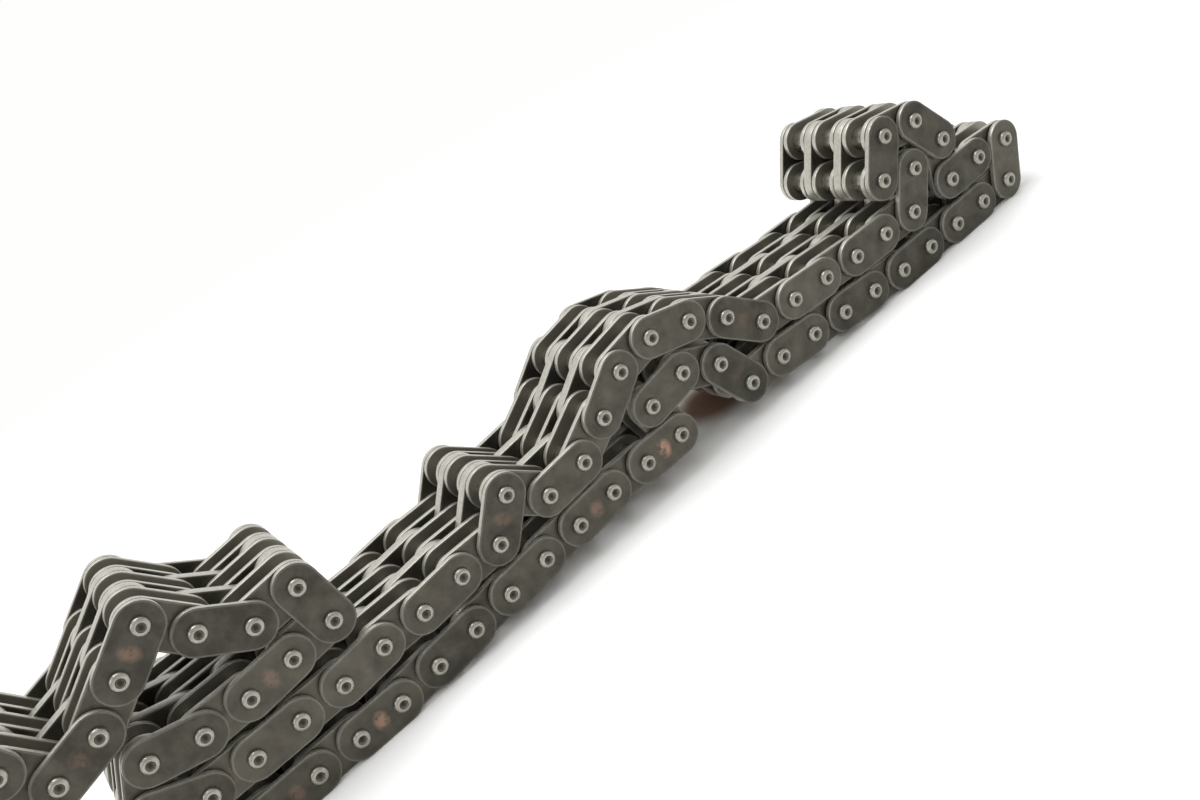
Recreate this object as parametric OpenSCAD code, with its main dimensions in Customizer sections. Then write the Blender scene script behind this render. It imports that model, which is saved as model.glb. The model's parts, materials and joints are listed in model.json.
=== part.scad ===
// Triple-strand bush chain for a primary drive, lying in a folded pile.
// Pins run along Y, the pile stands in the XZ plane and rests on Z = 0.

/* [Pitch and strands] */
// Distance between pin centres
pitch = 9.525; // [9.45:0.025:9.7]
// Clear width between the two inner plates of one strand
inner_width = 4.77; // [4.5:0.05:5.2]
// Side play between an inner plate and the plate beside it
side_gap = 0.18; // [0.1:0.02:0.3]

/* [Plates] */
// Gap between the ends of two like plates in line, which sets the plate height
end_gap = 0.725; // [0.6:0.025:1.2]
// Thickness of an outer plate
outer_t = 1.25; // [1:0.05:1.5]
// Thickness of an inner plate
inner_t = 1.25; // [1:0.05:1.5]
// Thickness of the centre plate between two strands
centre_t = 2.5; // [2:0.1:3]
// Radial play of a pressed fit
fit_gap = 0.01; // [0.005:0.005:0.02]

/* [Pins] */
// Pin diameter
pin_d = 3.58; // [3.3:0.02:3.8]
// Length of pin that stands proud of the outer plate
pin_proud = 1; // [0.6:0.1:1.5]
// Rounding of the pin's ends
pin_round = 0.8; // [0.4:0.05:0.8]
// Diameter of the riveting mark in a pin end
dimple_d = 1.8; // [1.2:0.1:1.9]
// Depth of the riveting mark
dimple_depth = 0.45; // [0.2:0.05:0.6]

/* [Bushes] */
// Outside diameter of a bush
bush_d = 5.08; // [4.8:0.02:5.3]
// Radial running play of a pin in its bush
bush_play = 0.04; // [0.02:0.01:0.08]

/* [Hidden] */
$fn = 32;
// Height of every plate, so that like plates clear each other in line
plate_h = pitch - end_gap;
// Distance between the middles of two strands
strand = inner_width + 2*inner_t + 2*side_gap + centre_t;
// Length of a bush, flush with its two inner plates
bush_len = inner_width + 2*inner_t;
// Inner face of an outer plate, measured from the middle of the chain
outer_y = strand + bush_len/2 + side_gap;
pin_len = 2*(outer_y + outer_t + pin_proud);

// The pile's lay: [number of links, heading in whole degrees from +X]
// Bottom run from its right end to its left end
run_lay = [
    [4, 180], [4, 175], [1, 180],
    [1, 120], [1, 155], [1, 189], [1, 286],
    [2, 180], [6, 185], [8, 180]
];
// The rest of the chain from the same right end
fold_lay = [
    // curl at the right end
    [1, 70], [1, 175], [1, 180], [1, 80], [1, 125], [1, 170], [1, 240], [1, 345], [1, 240],
    // second run and its hump
    [2, 178], [3, 175], [1, 140], [1, 150], [1, 165], [1, 190], [1, 215], [1, 210],
    // small peak, then flat to the inner bend
    [1, 185], [1, 140], [1, 230], [1, 180], [1, 185], [1, 180], [1, 185], [3, 180], [1, 155], [1, 60],
    // third run, back to the right, and its end
    [1, -15], [1, 0], [2, 5], [1, 100],
    // top run with its peak
    [1, 185], [1, 145], [1, 130], [2, 215], [1, 195], [1, 125], [1, 115],
    // free end, hanging on the left
    [1, 185], [1, 220], [1, 240], [1, 250], [1, 260], [1, 270]
];

function spread(lay) = [for (r = lay) for (i = [1:r[0]]) r[1]];
function walk(h, i = 0, p = [0, 0]) =
    i == len(h) ? [p] : concat([p], walk(h, i + 1, p + pitch*[cos(h[i]), sin(h[i])]));

run_h = spread(run_lay);
fold_h = spread(fold_lay);
run_p = walk(run_h);
fold_p = walk(fold_h);
all_p = concat(run_p, fold_p);
xs = [for (p = all_p) p[0]];
zs = [for (p = all_p) p[1]];
// Moves the middle of the pile's base to the origin
base = [-(min(xs) + max(xs))/2, plate_h/2 - min(zs)];

links = len(fold_h);
function two(n) = str(n < 10 ? "0" : "", n);
function outer_link_at(k) = k % 2 == 0;
function link_name(k) = str(outer_link_at(k) ? "outer_link_" : "inner_link_", two(k + 1));

// Straight-sided plate with two holes, from y to y + t
module plate(y, t, hole_d) {
    translate([0, y + t, 0])
        rotate([90, 0, 0])
            linear_extrude(height = t)
                difference() {
                    union() {
                        circle(d = plate_h);
                        translate([pitch, 0])
                            circle(d = plate_h);
                        translate([0, -plate_h/2])
                            square([pitch, plate_h]);
                    }
                    circle(d = hole_d);
                    translate([pitch, 0])
                        circle(d = hole_d);
                }
}

module outer_plate(side) {
    color([0.30, 0.28, 0.26])
        plate(side > 0 ? outer_y : -outer_y - outer_t, outer_t, pin_d + 2*fit_gap);
}

module centre_plate(side) {
    color([0.33, 0.31, 0.29])
        plate(side*strand/2 - centre_t/2, centre_t, pin_d + 2*fit_gap);
}

module inner_plate(row, side) {
    color([0.26, 0.25, 0.24])
        plate(row*strand + side*(inner_width + inner_t)/2 - inner_t/2, inner_t, bush_d + 2*fit_gap);
}

// Solid pin with rounded, centre-marked ends
module pin() {
    r = pin_d/2;
    e = pin_len/2;
    round_pts = [for (a = [0:18:90]) [r - pin_round*(1 - cos(a)), e - pin_round*(1 - sin(a))]];
    bowl_pts = [for (a = [90:-30:0]) [dimple_d/2*sin(a), e - dimple_depth*cos(a)]];
    half = concat(round_pts, bowl_pts);
    other = [for (i = [len(half) - 1:-1:0]) [half[i][0], -half[i][1]]];
    color([0.66, 0.64, 0.61])
        rotate([90, 0, 0])
            rotate_extrude()
                polygon(concat(half, other));
}

module bush(row) {
    color([0.22, 0.21, 0.20])
        translate([0, row*strand + bush_len/2, 0])
            rotate([90, 0, 0])
                linear_extrude(height = bush_len)
                    difference() {
                        circle(d = bush_d);
                        circle(d = pin_d + 2*bush_play);
                    }
}

// Draws its children once at each end of a link
module both_ends() {
    for (x = [0, pitch])
        translate([x, 0, 0])
            children();
}

module outer_plates() {
    for (side = [-1, 1])
        outer_plate(side);
}

module centre_plates() {
    for (side = [-1, 1])
        centre_plate(side);
}

module pins() {
    both_ends()
        pin();
}

module inner_plates() {
    for (row = [-1:1], side = [-1, 1])
        inner_plate(row, side);
}

module bushes() {
    both_ends()
        for (row = [-1:1])
            bush(row);
}

// Sets a link down between pin p and the next one along heading h
module lay_link(p, h) {
    translate([p[0] + base[0], 0, p[1] + base[1]])
        rotate([0, -h, 0])
            children();
}

// Repeats its children over every second link of the bottom run
module along_run(first) {
    for (k = [first:2:len(run_h) - 1])
        lay_link(run_p[k], run_h[k])
            children();
}

module fold_link(k) {
    lay_link(fold_p[k], fold_h[k]) {
        if (outer_link_at(k)) {
            outer_plates();
            centre_plates();
            pins();
        } else {
            inner_plates();
            bushes();
        }
    }
}

along_run(1) outer_plates();  // run_outer_plates
along_run(1) centre_plates();  // run_centre_plates
along_run(1) pins();  // run_pins
along_run(0) inner_plates();  // run_inner_plates
along_run(0) bushes();  // run_bushes
for (k = [0:links - 1])
    fold_link(k);
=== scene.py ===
"""Dresses a triplex bush chain: bevelled link plates, riveted pins and pressed bushes, laid in a folded pile."""

import json
import math

import bpy
import numpy as np
from bpy.props import FloatProperty, FloatVectorProperty, PointerProperty
from mathutils import Matrix, Vector


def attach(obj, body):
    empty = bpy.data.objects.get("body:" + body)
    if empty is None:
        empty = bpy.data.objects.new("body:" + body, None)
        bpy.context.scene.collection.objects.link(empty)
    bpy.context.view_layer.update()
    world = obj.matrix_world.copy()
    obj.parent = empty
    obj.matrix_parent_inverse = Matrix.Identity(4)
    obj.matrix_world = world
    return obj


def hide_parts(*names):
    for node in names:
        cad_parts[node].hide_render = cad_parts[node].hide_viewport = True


bl_info = {
    "name": "Triplex Bush Chain",
    "version": (1, 0, 0),
    "blender": (4, 5, 0),
    "location": "View3D > Sidebar > Chain",
    "description": "Dresses a three-strand primary chain and sets its studio",
    "category": "Object",
}

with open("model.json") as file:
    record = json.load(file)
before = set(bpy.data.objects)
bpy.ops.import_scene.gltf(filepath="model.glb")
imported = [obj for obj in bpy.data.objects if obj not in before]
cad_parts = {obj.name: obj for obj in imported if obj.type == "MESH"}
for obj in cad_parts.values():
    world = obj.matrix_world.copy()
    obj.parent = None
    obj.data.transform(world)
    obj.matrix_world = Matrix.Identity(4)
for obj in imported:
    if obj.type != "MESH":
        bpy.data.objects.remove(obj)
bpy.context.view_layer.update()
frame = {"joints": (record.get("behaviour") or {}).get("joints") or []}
JOINTS = frame["joints"]
ROOT_BODY = "bottom_run"

# Lay of the bottom run from its right end: number of links and heading in degrees from +X.
RUN_LAY = ((4, 180), (4, 175), (1, 180), (1, 120), (1, 155), (1, 189), (1, 286),
           (2, 180), (6, 185), (8, 180))


def linear(hex_code):
    """Linear RGB of an sRGB hex colour."""
    c = np.array([int(hex_code[i:i + 2], 16) for i in (1, 3, 5)]) / 255
    return tuple(np.where(c <= 0.04045, c / 12.92, ((c + 0.055) / 1.055) ** 2.4).tolist())


def length(name, description, mm):
    return FloatProperty(name=name, description=description, default=mm / 1000, unit="LENGTH", precision=6)


def colour(name, description, hex_code):
    return FloatVectorProperty(name=name, description=description, default=linear(hex_code), subtype="COLOR",
                               min=0, max=1)


def angle(name, description, degrees):
    return FloatProperty(name=name, description=description, default=math.radians(degrees), subtype="ANGLE")


class ChainSizes(bpy.types.PropertyGroup):
    """Sizes of the chain's pieces"""
    pitch: length("Pitch", "Distance between pin centres", 9.525)
    inner_width: length("Inner width", "Clear width between a strand's inner plates", 4.77)
    side_gap: length("Side play", "Gap between an inner plate and its neighbour", 0.18)
    plate_h: length("Plate height", "Height of every plate", 8.8)
    outer_t: length("Outer plate", "Thickness of an outer plate", 1.25)
    inner_t: length("Inner plate", "Thickness of an inner plate", 1.25)
    centre_t: length("Centre plate", "Thickness of a plate between two strands", 2.5)
    fit_gap: length("Press fit play", "Radial play of a pressed fit", 0.01)
    edge_round: length("Edge round", "Rounding that tumbling leaves on plate edges", 0.16)
    pin_d: length("Pin diameter", "Diameter of a pin", 3.58)
    pin_proud: length("Pin end", "Length of pin proud of the outer plate", 1.0)
    pin_round: length("Pin round", "Rounding of a pin end", 0.8)
    dimple_d: length("Rivet mark", "Diameter of the mark in a pin end", 1.8)
    dimple_depth: length("Mark depth", "Depth of the mark in a pin end", 0.45)
    bush_d: length("Bush diameter", "Outside diameter of a bush", 5.08)
    bush_play: length("Bush play", "Radial play of a pin in its bush", 0.04)


class ChainFinish(bpy.types.PropertyGroup):
    """Colours of the chain's finishes"""
    plate_dark: colour("Plate, oiled", "Darker tone of the oiled plate faces", "#3a3831")
    plate_mid: colour("Plate, bare", "Lighter tone of the plate faces", "#5a574e")
    # partly painted highlight: the pale edge colour stands for the bare steel of blanked edges and also for the
    # light that catches them
    plate_edge_and_highlight: colour("Plate edge", "Blanked and tumbled edge of a plate", "#c8c5bb")
    pin_bright: colour("Pin", "Ground steel of the pin ends", "#a19e94")
    # painted shade: this dark colour, described as oil, darkens the bowl of each rivet mark where shade falls
    pin_mark_shade: colour("Rivet mark", "Oil in the rivet mark", "#2f2d28")
    # the bush colour is also the colour that the painted gap light lightens the plate faces inside a strand toward
    bush_and_gap_light: colour("Bush", "Oiled bush", "#a09c91")
    rust: colour("Stain", "Reddish-brown stain on some plates", "#b88f78")


class ChainStudio(bpy.types.PropertyGroup):
    """Camera and studio"""
    azimuth: angle("Azimuth", "Turn of the view about the vertical, from looking along +Y", 22.04)
    elevation: angle("Elevation", "Height of the view above the floor", 24.0)
    roll: angle("Roll", "Turn of the camera about its own axis", -29.79)
    distance: length("Distance", "From the camera to its target", 241.7)
    target: FloatVectorProperty(name="Target", description="Point in the middle of the picture",
                                default=(0.014697, -0.0162, 0.027452), subtype="TRANSLATION", precision=5)
    focal: FloatProperty(name="Focal length", description="Lens on a 36 mm wide sensor", default=37.35,
                         unit="CAMERA")
    floor: colour("Floor", "White paper under the chain", "#fefefd")
    # painted shadow: a brown colour, described as oil, mixed into the paper under the hump where the chain shades
    # it
    oil: colour("Oil", "Brown oil on the paper under the hump", "#957969")
    arch_shadow_place: FloatVectorProperty(name="Oil place", description="Middle of the oily patch", subtype="TRANSLATION",
                                   default=(0.047, 0.004, 0), precision=5)
    arch_shadow_size: FloatVectorProperty(name="Oil size", description="Half width and half depth of the oily patch",
                                  default=(0.013, 0.013, 1), subtype="TRANSLATION", precision=5)


def heading_frame(p, q):
    """Rotation rows and place of a link from pin p to pin q: x along the link, y along the pins."""
    x = (np.array(q, float) - p) / np.linalg.norm(np.array(q, float) - p)
    y = np.array([0.0, 1.0, 0.0])
    return np.array([x, y, np.cross(x, y)]), np.array(p, float)


def run_pins():
    """Pin places of the bottom run, walked link by link from the first pivot."""
    h = np.radians(np.repeat([a for _, a in RUN_LAY], [n for n, _ in RUN_LAY]))
    step = np.stack([np.cos(h), np.zeros_like(h), np.sin(h)], 1) * bpy.context.scene.chain_sizes.pitch
    return np.concatenate([[[0, 0, 0]], np.cumsum(step, 0)]) + np.array(JOINTS[0]["pos_m"])


def fold_pins():
    """Pin places of the folded part: its pivots, and the free pin of the last link, which hangs straight down."""
    pins = np.array([j["pos_m"] for j in JOINTS])
    return np.concatenate([pins, pins[-1:] - [0, 0, bpy.context.scene.chain_sizes.pitch]])


def grid_quads(rows, cols, start=0, close_rows=False, close_cols=True):
    """Quads of a grid of rows by cols points, each running round its columns and up its rows."""
    i = np.arange(rows if close_rows else rows - 1)[:, None]
    j = np.arange(cols if close_cols else cols - 1)[None, :]
    a, b = i * cols, (i + 1) % rows * cols
    k = (j + 1) % cols
    return start + np.stack([a + j, a + k, b + k, b + j], -1).reshape(-1, 4)


def weld(verts, quads, tris, **attrs):
    """Merges points that share a place, so that a shape made of several grids is closed."""
    _, first, back = np.unique(np.round(verts, 8), axis=0, return_index=True, return_inverse=True)
    back = back.reshape(-1)
    return dict(verts=verts[first], quads=back[quads], tris=back[tris], **{k: v[first] for k, v in attrs.items()})


# Tumbling also pales a narrow band of the face along the rim; the band is also a painted highlight, a light outline
# round each face.
RIM_BAND = 0.0003
RIM_PALE_AND_HIGHLIGHT = 0.18


def plate_shape(s, t, hole_d):
    """Straight-sided plate: two half faces ruled from a hole to the outline and the middle line, and a rim.

    A ray at angle a from a hole meets the round end at radius R, the straight side at R/|sin a| or the middle
    line at (pitch/2)/cos a. The rim carries a quarter round, a flat and a quarter round along the outline.
    """
    e, r, half = s.edge_round, s.plate_h / 2, s.pitch / 2
    r_in = r - e
    corner = math.atan2(r_in, half)
    a = np.concatenate([np.linspace(-corner, corner, 5), np.linspace(corner, np.pi / 2, 4)[1:],
                        np.linspace(np.pi / 2, 1.5 * np.pi, 19)[1:],
                        np.linspace(1.5 * np.pi, 2 * np.pi - corner, 4)[1:-1]])
    n = len(a)
    ca, sa = np.cos(a), np.sin(a)

    def bound(radius):
        """Outline of one half at a given half height, met by the rays."""
        reach = np.where(ca < 1e-9, radius, np.minimum(radius / np.maximum(np.abs(sa), 1e-9),
                                                       half / np.maximum(ca, 1e-9)))
        return np.stack([reach * ca, np.clip(reach * sa, -radius, radius)], 1)

    hole = hole_d / 2 * np.stack([ca, sa], 1)
    inset, near = bound(r_in), bound(r_in - RIM_BAND)
    # the inner ring of the face keeps to the middle line where its rays meet it
    near[:5, 0] = half
    y = t / 2
    rings, quads, marks = [], [], []
    # the rays between the two corners end on the middle line, which is no rim
    band = np.full(n, RIM_PALE_AND_HIGHLIGHT)
    band[1:4] = 0

    def face(sign, flip):
        start = sum(len(x) for x in rings)
        for ring, mark in ((hole, np.zeros(n)), (near, np.zeros(n)), (inset, band)):
            x = ring[:, 0] if not flip else s.pitch - ring[:, 0]
            rings.append(np.stack([x, np.full(n, sign * y), ring[:, 1]], 1))
            marks.append(mark)
        q = grid_quads(3, n, start)
        quads.append(q if (sign > 0) == flip else q[:, ::-1])

    def wall(flip):
        start = sum(len(x) for x in rings)
        for sign in (-1, 1):
            x = hole[:, 0] if not flip else s.pitch - hole[:, 0]
            rings.append(np.stack([x, np.full(n, sign * y), hole[:, 1]], 1))
            marks.append(np.zeros(n))
        q = grid_quads(2, n, start)
        quads.append(q if not flip else q[:, ::-1])

    for flip in (False, True):
        face(-1, flip)
        face(1, flip)
        wall(flip)
    out = inset[4:].tolist() + [inset[0].tolist()]
    left = np.array(out)
    nrm = np.where(left[:, :1] < 0, left / np.linalg.norm(left, axis=1, keepdims=True),
                   np.stack([np.zeros(len(left)), np.sign(left[:, 1])], 1))
    right = left[::-1] * [-1, 1] + [s.pitch, 0]
    line = np.concatenate([left, right[1:-1]])
    norm = np.concatenate([nrm, (nrm[::-1] * [-1, 1])[1:-1]])
    q = np.radians([0, 30, 60, 90])
    off = e * np.concatenate([np.sin(q), np.sin(q)[::-1]])
    prof = np.concatenate([-y + e - e * np.cos(q), (y - e + e * np.cos(q))[::-1]])
    start = sum(len(x) for x in rings)
    flat = line[None] + norm[None] * off[:, None, None]
    rim = np.stack([flat[..., 0], np.broadcast_to(prof[:, None], flat.shape[:2]), flat[..., 1]], -1)
    quads.append(grid_quads(len(off), len(line), start)[:, ::-1])
    # the rim's flat gets the full edge mark, which the material turns pale: partly bare steel, partly painted
    # highlight
    edge = np.concatenate(marks + [np.repeat(np.clip(off / e * 2 - 1, 0, 1), len(line))])
    verts = np.concatenate(rings + [rim.reshape(-1, 3)])
    return weld(verts, np.concatenate(quads), np.zeros((0, 3), int), edge=edge)


def lathe(profile, edge, segments=28, closed=False):
    """Revolves a profile of (radius, y) about Y; a radius of zero at either end becomes a fan of triangles."""
    profile, edge = np.array(profile, float), np.array(edge, float)
    poles = [] if closed else [0, len(profile) - 1]
    body = profile if closed else profile[1:-1]
    a = np.linspace(0, 2 * np.pi, segments, endpoint=False)
    ring = np.stack([np.cos(a), np.zeros(segments), np.sin(a)], 1)
    verts = (body[:, None, :1] * ring + body[:, None, 1:] * [0, 1, 0]).reshape(-1, 3)
    marks = np.repeat(edge if closed else edge[1:-1], segments)
    quads = grid_quads(len(body), segments, close_rows=closed)
    tris = np.zeros((0, 3), int)
    if poles:
        verts = np.concatenate([verts, [[0, profile[0, 1], 0], [0, profile[-1, 1], 0]]])
        marks = np.concatenate([marks, edge[[0, -1]]])
        j = np.arange(segments)
        k, top = (j + 1) % segments, (len(body) - 1) * segments
        tris = np.concatenate([np.stack([j, np.full(segments, len(verts) - 2), k], 1)[:, ::-1],
                               np.stack([top + j, top + k, np.full(segments, len(verts) - 1)], 1)])
    return dict(verts=verts, quads=quads, tris=tris, edge=marks)


def pin_shape(s):
    """Pin of one radius with quarter-round ends and the bowl of a rivet mark in each, y = end - depth cos a."""
    strand = s.inner_width + 2 * s.inner_t + 2 * s.side_gap + s.centre_t
    end = strand + s.inner_width / 2 + s.inner_t + s.side_gap + s.outer_t + s.pin_proud
    r, f, d = s.pin_d / 2, s.pin_round, s.dimple_d / 2
    a = np.radians(np.linspace(90, 0, 6))
    rounding = [(r - f + f * math.cos(v), end - f + f * math.sin(v)) for v in a]
    bowl = np.radians(np.linspace(0, 90, 7))
    top = [(d * math.sin(v), end - s.dimple_depth * math.cos(v)) for v in bowl] + rounding
    # painted shade: the mark falls toward 0 in the bowl of the rivet mark, so the material paints the bowl dark
    edge = [0, 0, 0.08, 0.2, 0.42, 0.75, 1] + [1] * 6
    low = [(x, -v) for x, v in top]
    return lathe(low + top[::-1], edge + edge[::-1])


BUSH_CHAMFER = 0.00012


def bush_shape(s):
    """Tube with small chamfers at its four rims."""
    l, c = (s.inner_width + 2 * s.inner_t) / 2, BUSH_CHAMFER
    ro, ri = s.bush_d / 2, s.pin_d / 2 + s.bush_play
    prof = [(ri, -l + c), (ri + c, -l), (ro - c, -l), (ro, -l + c),
            (ro, l - c), (ro - c, l), (ri + c, l), (ri, l - c)]
    return lathe(prof, [0.2, 0.5, 0.5, 0, 0, 0.5, 0.5, 0.2], closed=True)


def link_layout(s):
    """Middle of every plate and bush across the chain, along Y."""
    strand = s.inner_width + 2 * s.inner_t + 2 * s.side_gap + s.centre_t
    rows = np.array([-1, 0, 1]) * strand
    inner = (rows[:, None] + np.array([-1, 1]) * (s.inner_width + s.inner_t) / 2).reshape(-1)
    outer = np.array([-1, 1]) * (strand + s.inner_width / 2 + s.inner_t + s.side_gap + s.outer_t / 2)
    return dict(rows=rows, inner=inner, inward=np.tile([1, -1], 3), outer=outer,
                centre=np.array([-1, 1]) * strand / 2)


def hash01(i):
    """Repeatable value from 0 to 1 for a number."""
    return (np.sin(np.asarray(i, float) * 12.9898 + 4.137) * 43758.5453) % 1


class Builder:
    """Gathers copies of the template shapes and puts them into one mesh."""

    def __init__(self):
        self.verts, self.faces, self.edge, self.local, self.slot = [], [], [], [], []
        self.tone, self.stain, self.painted_gap_light = [], [], []
        self.count = 0

    def add(self, shape, rot, place, offset, tone, stain, slot, painted_gap_light=0.0):
        v = shape["verts"] + offset
        self.verts.append(v @ rot + place)
        self.local.append(v)
        self.edge.append(shape["edge"])
        self.tone.append(np.full(len(v), tone))
        self.stain.append(np.full(len(v), stain))
        self.painted_gap_light.append(np.zeros(len(v)) + painted_gap_light)
        for f in (shape["quads"], shape["tris"]):
            self.faces += (f + self.count).tolist()
            self.slot.append(np.full(len(f), slot))
        self.count += len(v)

    def make(self, name, mats):
        mesh = bpy.data.meshes.new(name)
        mesh.from_pydata(np.concatenate(self.verts).tolist(), [], self.faces)
        for key, parts in (("edge", self.edge), ("tone", self.tone), ("stain", self.stain), ("painted_gap_light", self.painted_gap_light)):
            mesh.attributes.new(key, "FLOAT", "POINT").data.foreach_set(
                "value", np.concatenate(parts).astype(np.float32))
        mesh.attributes.new("local", "FLOAT_VECTOR", "POINT").data.foreach_set(
            "vector", np.concatenate(self.local).astype(np.float32).reshape(-1))
        for m in mats:
            mesh.materials.append(m)
        mesh.polygons.foreach_set("material_index", np.concatenate(self.slot).astype(np.int32))
        mesh.shade_smooth()
        mesh.set_sharp_from_angle(angle=math.radians(40))
        mesh.validate()
        obj = bpy.data.objects.new(name, mesh)
        bpy.context.scene.collection.objects.link(obj)
        return obj


def add(tree, kind, settings=None, **inputs):
    """Adds a node, sets its properties, and feeds each input a value or another node's output."""
    node = tree.nodes.new("ShaderNode" + kind)
    for key, value in (settings or {}).items():
        setattr(node, key, value)
    for key, value in inputs.items():
        by_number = key[0] == "i" and key[1:].isdigit()
        socket = node.inputs[int(key[1:]) if by_number else key.replace("_", " ")]
        if isinstance(value, bpy.types.NodeSocket):
            tree.links.new(value, socket)
        else:
            socket.default_value = value
    return node


def fresh_material(name):
    mat = bpy.data.materials.new(name)
    mat.use_nodes = True
    mat.node_tree.nodes.clear()
    return mat, mat.node_tree


def rgba(c):
    return (*c, 1.0)


# Share of painted light on the plate faces that look into a strand, which lightens them toward the bush colour, and
# how metallic an unstained plate is.
GAP_LIGHT_SHARE = 0.7
PLATE_METAL = 0.75


def plate_steel(name, finish):
    """Hardened carbon steel strip, blanked and tumbled, under old oil: dark mottled faces, pale edges that are
    partly bare steel and partly a painted highlight, and painted light on the faces inside a strand.
    """
    mat, t = fresh_material(name)
    obj = add(t, "TexCoord").outputs["Object"]
    edge = add(t, "Attribute", dict(attribute_name="edge")).outputs["Fac"]
    tone = add(t, "Attribute", dict(attribute_name="tone")).outputs["Fac"]
    stain = add(t, "Attribute", dict(attribute_name="stain")).outputs["Fac"]
    # oil clouds about 4 mm across, and rubbed specks about 0.7 mm across
    cloud = add(t, "TexNoise", Vector=obj, Scale=1 / 0.004, Detail=4.0, Roughness=0.6).outputs["Fac"]
    speck = add(t, "TexNoise", Vector=obj, Scale=1 / 0.0007, Detail=3.0, Roughness=0.65).outputs["Fac"]
    mix = add(t, "Math", dict(operation="MULTIPLY_ADD"), i0=tone, i1=0.4, i2=-0.2).outputs[0]
    level = add(t, "Math", dict(operation="ADD", use_clamp=True), i0=cloud, i1=mix).outputs[0]
    level = add(t, "MapRange", i0=level, i1=0.2, i2=0.8).outputs[0]
    base = add(t, "Mix", dict(data_type="RGBA"), i0=level, i6=rgba(finish.plate_dark),
               i7=rgba(finish.plate_mid)).outputs[2]
    # painted light: the faces that look into a strand are lightened toward the bush colour, standing in for light
    # that reaches into the gaps
    painted_gap_light = add(t, "Attribute", dict(attribute_name="painted_gap_light")).outputs["Fac"]
    painted_gap_light = add(t, "Math", dict(operation="MULTIPLY"), i0=painted_gap_light, i1=GAP_LIGHT_SHARE).outputs[0]
    base = add(t, "Mix", dict(data_type="RGBA"), i0=painted_gap_light, i6=base, i7=rgba(finish.bush_and_gap_light)).outputs[2]
    # partly painted highlight: rims and the band along them are mixed toward the pale edge colour, broken up by
    # specks
    wear_and_highlight = add(t, "MapRange", i0=speck, i1=0.25, i2=0.6, i3=0.7, i4=1.0).outputs[0]
    wear_and_highlight = add(t, "Math", dict(operation="MULTIPLY"), i0=edge, i1=wear_and_highlight).outputs[0]
    base = add(t, "Mix", dict(data_type="RGBA"), i0=wear_and_highlight, i6=base, i7=rgba(finish.plate_edge_and_highlight)).outputs[2]
    # a stain is a spot of about 3 mm in the middle of a plate, broken up by noise
    local = add(t, "Attribute", dict(attribute_name="local")).outputs["Vector"]
    centred = add(t, "VectorMath", dict(operation="SUBTRACT"), i0=local, i1=(0.00476, 0, 0)).outputs[0]
    across = add(t, "VectorMath", dict(operation="MULTIPLY"), i0=centred, i1=(1, 0, 0.75)).outputs[0]
    far = add(t, "VectorMath", dict(operation="LENGTH"), i0=across).outputs["Value"]
    near = add(t, "MapRange", i0=far, i1=0.0018, i2=0.0008).outputs[0]
    blot = add(t, "TexNoise", Vector=obj, Scale=1 / 0.0025, Detail=5.0, Roughness=0.7).outputs["Fac"]
    blot = add(t, "MapRange", i0=blot, i1=0.38, i2=0.52).outputs[0]
    amount = add(t, "Math", dict(operation="MULTIPLY"), i0=near, i1=blot).outputs[0]
    amount = add(t, "Math", dict(operation="MULTIPLY", use_clamp=True), i0=amount, i1=stain).outputs[0]
    base = add(t, "Mix", dict(data_type="RGBA"), i0=amount, i6=base, i7=rgba(finish.rust)).outputs[2]
    rough = add(t, "MapRange", i0=cloud, i1=0.25, i2=0.75, i3=0.46, i4=0.34).outputs[0]
    rough = add(t, "Math", dict(operation="MULTIPLY_ADD"), i0=amount, i1=0.25, i2=rough).outputs[0]
    bump = add(t, "Bump", i0=0.12, i1=0.0001, Height=speck).outputs[0]
    metal = add(t, "Math", dict(operation="MULTIPLY_ADD"), i0=amount, i1=-PLATE_METAL, i2=PLATE_METAL).outputs[0]
    shader = add(t, "BsdfPrincipled", Base_Color=base, Metallic=metal, Roughness=rough, Normal=bump)
    add(t, "OutputMaterial", Surface=shader.outputs[0])
    return mat


def pin_steel(finish):
    """Ground and case-hardened pin steel: bright rounded ends, and painted shade that darkens the bowl of the rivet
    mark.
    """
    mat, t = fresh_material("ground_pin_steel")
    obj = add(t, "TexCoord").outputs["Object"]
    edge = add(t, "Attribute", dict(attribute_name="edge")).outputs["Fac"]
    cloud = add(t, "TexNoise", Vector=obj, Scale=1 / 0.0012, Detail=4.0, Roughness=0.6).outputs["Fac"]
    film = add(t, "MapRange", i0=cloud, i1=0.3, i2=0.6, i3=0.75, i4=1.0).outputs[0]
    # painted shade: where the mark is low, in the bowl of the rivet mark, the pin is mixed toward the dark colour
    level = add(t, "Math", dict(operation="MULTIPLY"), i0=edge, i1=film).outputs[0]
    base = add(t, "Mix", dict(data_type="RGBA"), i0=level, i6=rgba(finish.pin_mark_shade),
               i7=rgba(finish.pin_bright)).outputs[2]
    rough = add(t, "MapRange", i0=cloud, i1=0.3, i2=0.7, i3=0.24, i4=0.34).outputs[0]
    bump = add(t, "Bump", i0=0.1, i1=0.00008, Height=cloud).outputs[0]
    shader = add(t, "BsdfPrincipled", Base_Color=base, Metallic=0.9, Roughness=rough, Normal=bump)
    add(t, "OutputMaterial", Surface=shader.outputs[0])
    return mat


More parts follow.
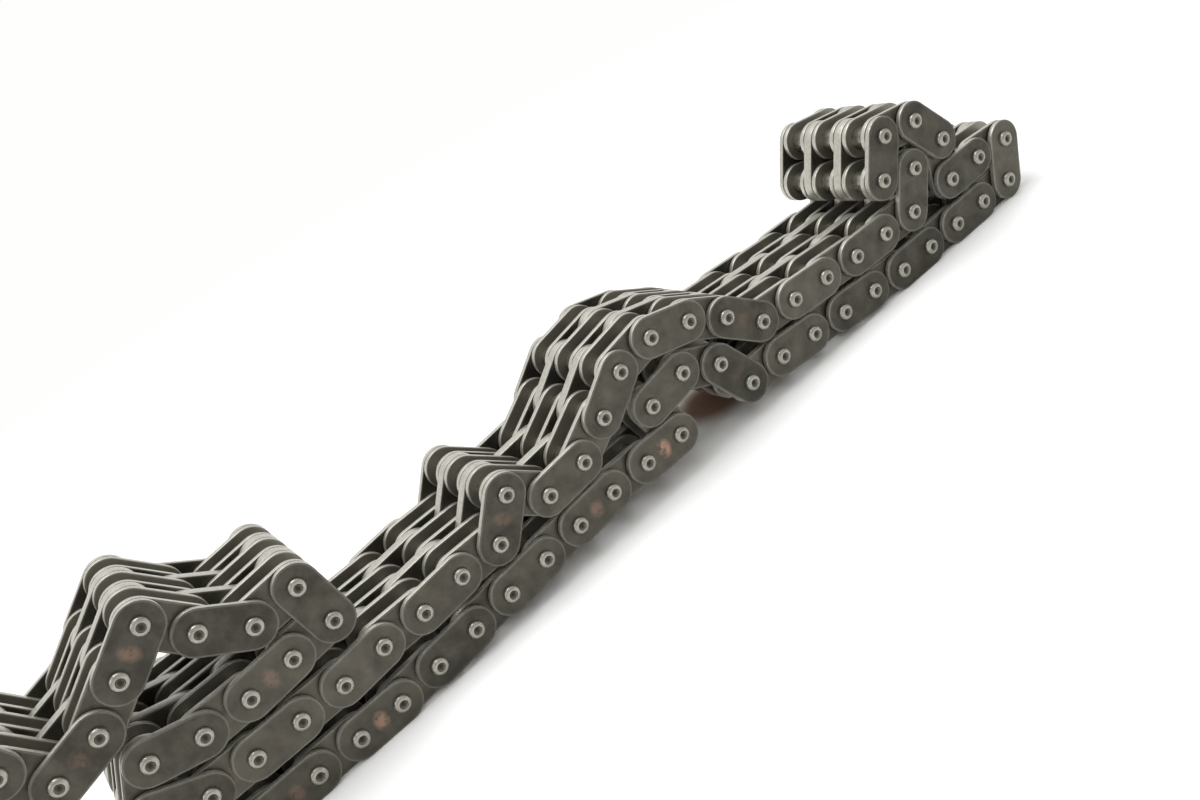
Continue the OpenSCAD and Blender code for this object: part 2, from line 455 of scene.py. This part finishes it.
def bush_steel(finish):
    """Rolled bush steel wet with oil: dark, smooth, with one soft long highlight."""
    mat, t = fresh_material("oiled_bush_steel")
    obj = add(t, "TexCoord").outputs["Object"]
    cloud = add(t, "TexNoise", Vector=obj, Scale=1 / 0.0022, Detail=4.0, Roughness=0.6).outputs["Fac"]
    level = add(t, "MapRange", i0=cloud, i1=0.25, i2=0.6, i3=0.3, i4=1.0).outputs[0]
    base = add(t, "Mix", dict(data_type="RGBA"), i0=level, i6=rgba(finish.plate_dark),
               i7=rgba(finish.bush_and_gap_light)).outputs[2]
    rough = add(t, "MapRange", i0=cloud, i1=0.3, i2=0.7, i3=0.3, i4=0.2).outputs[0]
    shader = add(t, "BsdfPrincipled", Base_Color=base, Metallic=0.9, Roughness=rough)
    add(t, "OutputMaterial", Surface=shader.outputs[0])
    return mat


def finishes():
    """The chain's materials, made once."""
    f = bpy.context.scene.chain_finish
    if "ground_pin_steel" not in bpy.data.materials:
        plate_steel("oiled_plate_steel", f)
        pin_steel(f)
        bush_steel(f)
    return [bpy.data.materials[n] for n in ("oiled_plate_steel", "ground_pin_steel", "oiled_bush_steel")]


# Faint stain of every plate outside and inside the chain, and the links that carry more, counted along each run.
OPEN_STAIN = 0.03
COVERED_STAIN = 0.05
RUN_STAINS = {13: 0.75, 15: 0.25, 21: 0.5, 23: 0.15}
FOLD_STAINS = {14: 0.08, 22: 0.15, 34: 0.2, 40: 0.25, 42: 0.12}


def add_plates(build, shape, rows, rot, place, key, stain, inward=None):
    """Adds a link's plates; inward is the sign of Y towards the strand that each plate bounds."""
    for i, y in enumerate(rows):
        # painted light: the faces of a plate that look into its strand are marked for the painted gap light
        painted_gap_light = 0.0 if inward is None else shape["verts"][:, 1] * inward[i] > 0
        build.add(shape, rot, place, [0, y, 0], hash01(key * 7 + i), stain, 0, painted_gap_light)


def add_at_ends(build, shape, rows, rot, place, pitch, key, slot):
    for i, (x, y) in enumerate((x, y) for x in (0, pitch) for y in rows):
        build.add(shape, rot, place, [x, y, 0], hash01(key * 5 + i), 0, slot)


def finish_piece(build, name, node, body):
    obj = build.make(name, finishes())
    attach(obj, body)
    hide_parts(node)


class CHAIN_OT_run_outer_links(bpy.types.Operator):
    """Outer plates, centre plates and pins of the bottom run"""
    bl_idname = "chain.run_outer_links"
    bl_label = "Bottom run: outer links"

    def execute(self, context):
        s = context.scene.chain_sizes
        lay, pins = link_layout(s), run_pins()
        hole = s.pin_d + 2 * s.fit_gap
        outer, centre, pin = plate_shape(s, s.outer_t, hole), plate_shape(s, s.centre_t, hole), pin_shape(s)
        a, b, c = Builder(), Builder(), Builder()
        for k in range(1, len(pins) - 1, 2):
            rot, place = heading_frame(pins[k], pins[k + 1])
            add_plates(a, outer, lay["outer"], rot, place, 100 + k, RUN_STAINS.get(k, OPEN_STAIN))
            add_plates(b, centre, lay["centre"], rot, place, 200 + k, COVERED_STAIN)
            add_at_ends(c, pin, [0], rot, place, s.pitch, k, 1)
        finish_piece(a, "bottom_run_outer_plates", "run_outer_plates", ROOT_BODY)
        finish_piece(b, "bottom_run_centre_plates", "run_centre_plates", ROOT_BODY)
        finish_piece(c, "bottom_run_pins", "run_pins", ROOT_BODY)
        return {"FINISHED"}


class CHAIN_OT_run_inner_links(bpy.types.Operator):
    """Inner plates and bushes of the bottom run"""
    bl_idname = "chain.run_inner_links"
    bl_label = "Bottom run: inner links"

    def execute(self, context):
        s = context.scene.chain_sizes
        lay, pins = link_layout(s), run_pins()
        plate, bush = plate_shape(s, s.inner_t, s.bush_d + 2 * s.fit_gap), bush_shape(s)
        a, b = Builder(), Builder()
        for k in range(0, len(pins) - 1, 2):
            rot, place = heading_frame(pins[k], pins[k + 1])
            add_plates(a, plate, lay["inner"], rot, place, 300 + k, COVERED_STAIN, lay["inward"])
            add_at_ends(b, bush, lay["rows"], rot, place, s.pitch, k, 2)
        finish_piece(a, "bottom_run_inner_plates", "run_inner_plates", ROOT_BODY)
        finish_piece(b, "bottom_run_bushes", "run_bushes", ROOT_BODY)
        return {"FINISHED"}


class CHAIN_OT_fold_outer_links(bpy.types.Operator):
    """Every outer link of the folded part, with its plates and pins"""
    bl_idname = "chain.fold_outer_links"
    bl_label = "Folds: outer links"

    def execute(self, context):
        s = context.scene.chain_sizes
        lay, pins = link_layout(s), fold_pins()
        hole = s.pin_d + 2 * s.fit_gap
        outer, centre, pin = plate_shape(s, s.outer_t, hole), plate_shape(s, s.centre_t, hole), pin_shape(s)
        for k in range(0, len(JOINTS), 2):
            rot, place = heading_frame(pins[k], pins[k + 1])
            build = Builder()
            add_plates(build, outer, lay["outer"], rot, place, 400 + k, FOLD_STAINS.get(k, OPEN_STAIN))
            add_plates(build, centre, lay["centre"], rot, place, 500 + k, COVERED_STAIN)
            add_at_ends(build, pin, [0], rot, place, s.pitch, k, 1)
            node = JOINTS[k]["child"]
            finish_piece(build, node + "_riveted", node, node)
        return {"FINISHED"}


class CHAIN_OT_fold_inner_links(bpy.types.Operator):
    """Every inner link of the folded part, with its plates and bushes"""
    bl_idname = "chain.fold_inner_links"
    bl_label = "Folds: inner links"

    def execute(self, context):
        s = context.scene.chain_sizes
        lay, pins = link_layout(s), fold_pins()
        plate, bush = plate_shape(s, s.inner_t, s.bush_d + 2 * s.fit_gap), bush_shape(s)
        for k in range(1, len(JOINTS), 2):
            rot, place = heading_frame(pins[k], pins[k + 1])
            build = Builder()
            add_plates(build, plate, lay["inner"], rot, place, 600 + k, COVERED_STAIN, lay["inward"])
            add_at_ends(build, bush, lay["rows"], rot, place, s.pitch, k, 2)
            node = JOINTS[k]["child"]
            finish_piece(build, node + "_pressed", node, node)
        return {"FINISHED"}


def area_lamp(name, place, aim, size, power):
    lamp = bpy.data.lights.new(name, "AREA")
    lamp.size, lamp.energy = size, power
    obj = bpy.data.objects.new(name, lamp)
    obj.location = place
    obj.rotation_euler = (Vector(aim) - Vector(place)).to_track_quat("-Z", "Y").to_euler()
    bpy.context.scene.collection.objects.link(obj)


# The paper is a round sheet of many sides with a wall, a hair below the chain.
PAPER_SIDES = 64
PAPER_RADIUS = 3.0
PAPER_WALL = 1.0
PAPER_DROP = 0.00002


class CHAIN_OT_stage(bpy.types.Operator):
    """White paper, soft light from overhead, and the camera"""
    bl_idname = "chain.stage"
    bl_label = "Studio"

    @staticmethod
    def seen(t):
        """1 for a ray from the camera, a mirror or a clear surface, 0 for light that falls on the chain."""
        path = add(t, "LightPath").outputs
        either = add(t, "Math", dict(operation="MAXIMUM"), i0=path["Is Glossy Ray"], i1=path["Is Transmission Ray"])
        return add(t, "Math", dict(operation="MAXIMUM"), i0=path["Is Camera Ray"], i1=either.outputs[0]).outputs[0]

    def execute(self, context):
        scene, st = context.scene, context.scene.chain_studio
        scene.view_settings.view_transform = "Standard"
        mesh = bpy.data.meshes.new("paper")
        # a round sheet with a low wall all round, so that every view ends in white paper
        a = np.linspace(0, 2 * np.pi, PAPER_SIDES, endpoint=False)
        foot = np.stack([np.cos(a), np.sin(a), np.zeros(PAPER_SIDES)], 1) * PAPER_RADIUS
        verts = np.concatenate([foot, foot + [0, 0, PAPER_WALL]])
        wall = grid_quads(2, PAPER_SIDES)[:, ::-1]
        mesh.from_pydata(verts.tolist(), [], [list(range(PAPER_SIDES))] + wall.tolist())
        mat, t = fresh_material("white_paper")
        # near the chain the paper keeps its shadow; further out, seen or mirrored, it is plain white
        place = add(t, "TexCoord").outputs["Object"]
        off = add(t, "VectorMath", dict(operation="SUBTRACT"), i0=place, i1=st.arch_shadow_place).outputs[0]
        off = add(t, "VectorMath", dict(operation="DIVIDE"), i0=off, i1=st.arch_shadow_size).outputs[0]
        ring = add(t, "VectorMath", dict(operation="LENGTH"), i0=off).outputs["Value"]
        # painted shadow: the paper under the hump is mixed toward the brown colour in a soft patch, both where it
        # is seen and where it is lit
        painted_shadow = add(t, "MapRange", dict(interpolation_type="SMOOTHSTEP"), i0=ring, i1=1.0, i2=0.4).outputs[0]
        tint = add(t, "Mix", dict(data_type="RGBA"), i0=painted_shadow, i6=rgba(st.floor), i7=rgba(st.oil)).outputs[2]
        matte = add(t, "BsdfDiffuse", Color=tint).outputs[0]
        white = add(t, "Emission", Color=tint, Strength=1.0).outputs[0]
        seen = self.seen(t)
        far = add(t, "VectorMath", dict(operation="LENGTH"), i0=place).outputs["Value"]
        share = add(t, "MapRange", i0=far, i1=0.12, i2=0.45, i3=0.0, i4=1.0).outputs[0]
        part = add(t, "Math", dict(operation="MULTIPLY"), i0=seen, i1=share).outputs[0]
        shader = add(t, "MixShader", i0=part, i1=matte, i2=white)
        add(t, "OutputMaterial", Surface=shader.outputs[0])
        mesh.materials.append(mat)
        paper = bpy.data.objects.new("paper", mesh)
        paper.location.z = -PAPER_DROP
        scene.collection.objects.link(paper)
        world = bpy.data.worlds.new("studio")
        scene.world = world
        world.use_nodes = True
        t = world.node_tree
        t.nodes.clear()
        # the room is bright overhead and dim round the sides
        way = add(t, "TexCoord").outputs["Generated"]
        up = add(t, "SeparateXYZ", i0=way).outputs[2]
        level = add(t, "MapRange", i0=up, i1=0.0, i2=0.8, i3=0.18, i4=1.0).outputs[0]
        back = add(t, "Background", Color=(1, 1, 1, 1), Strength=level)
        add(t, "OutputWorld", Surface=back.outputs[0])
        area_lamp("ceiling", (-0.05, 0.12, 0.85), (0, 0, 0.02), 0.5, 4.0)
        area_lamp("window", (-0.7, -0.1, 0.45), (0, 0, 0.02), 0.35, 0.8)
        # camera: aimed at its target from the stated azimuth and elevation, then rolled
        az, el, roll = st.azimuth, st.elevation, st.roll
        d = Vector((math.sin(az) * math.cos(el), math.cos(az) * math.cos(el), -math.sin(el)))
        right = d.cross(Vector((0, 0, 1))).normalized()
        up = right.cross(d)
        r2 = math.cos(roll) * right + math.sin(roll) * up
        u2 = -math.sin(roll) * right + math.cos(roll) * up
        cam = bpy.data.cameras.new("camera")
        cam.sensor_width, cam.lens, cam.clip_start = 36, st.focal, 0.01
        obj = bpy.data.objects.new("camera", cam)
        place = Vector(st.target) - d * st.distance
        obj.matrix_world = Matrix((
            (r2.x, u2.x, -d.x, place.x), (r2.y, u2.y, -d.y, place.y), (r2.z, u2.z, -d.z, place.z), (0, 0, 0, 1)))
        scene.collection.objects.link(obj)
        scene.camera = obj
        return {"FINISHED"}


class CHAIN_PT_panel(bpy.types.Panel):
    """Steps that dress the chain"""
    bl_label = "Triplex chain"
    bl_idname = "CHAIN_PT_panel"
    bl_space_type = "VIEW_3D"
    bl_region_type = "UI"
    bl_category = "Chain"

    def draw(self, context):
        for op in OPERATORS:
            self.layout.operator(op.bl_idname)


OPERATORS = (CHAIN_OT_run_outer_links, CHAIN_OT_run_inner_links, CHAIN_OT_fold_outer_links,
             CHAIN_OT_fold_inner_links, CHAIN_OT_stage)
GROUPS = (("chain_sizes", ChainSizes), ("chain_finish", ChainFinish), ("chain_studio", ChainStudio))


def register():
    for name, group in GROUPS:
        bpy.utils.register_class(group)
        setattr(bpy.types.Scene, name, PointerProperty(type=group))
    for cls in (*OPERATORS, CHAIN_PT_panel):
        bpy.utils.register_class(cls)


def unregister():
    for cls in reversed((*OPERATORS, CHAIN_PT_panel)):
        bpy.utils.unregister_class(cls)
    for name, group in reversed(GROUPS):
        delattr(bpy.types.Scene, name)
        bpy.utils.unregister_class(group)


def main():
    register()
    bpy.ops.chain.run_outer_links()
    bpy.ops.chain.run_inner_links()
    bpy.ops.chain.fold_outer_links()
    bpy.ops.chain.fold_inner_links()
    bpy.ops.chain.stage()


if __name__ == "__main__":
    main()
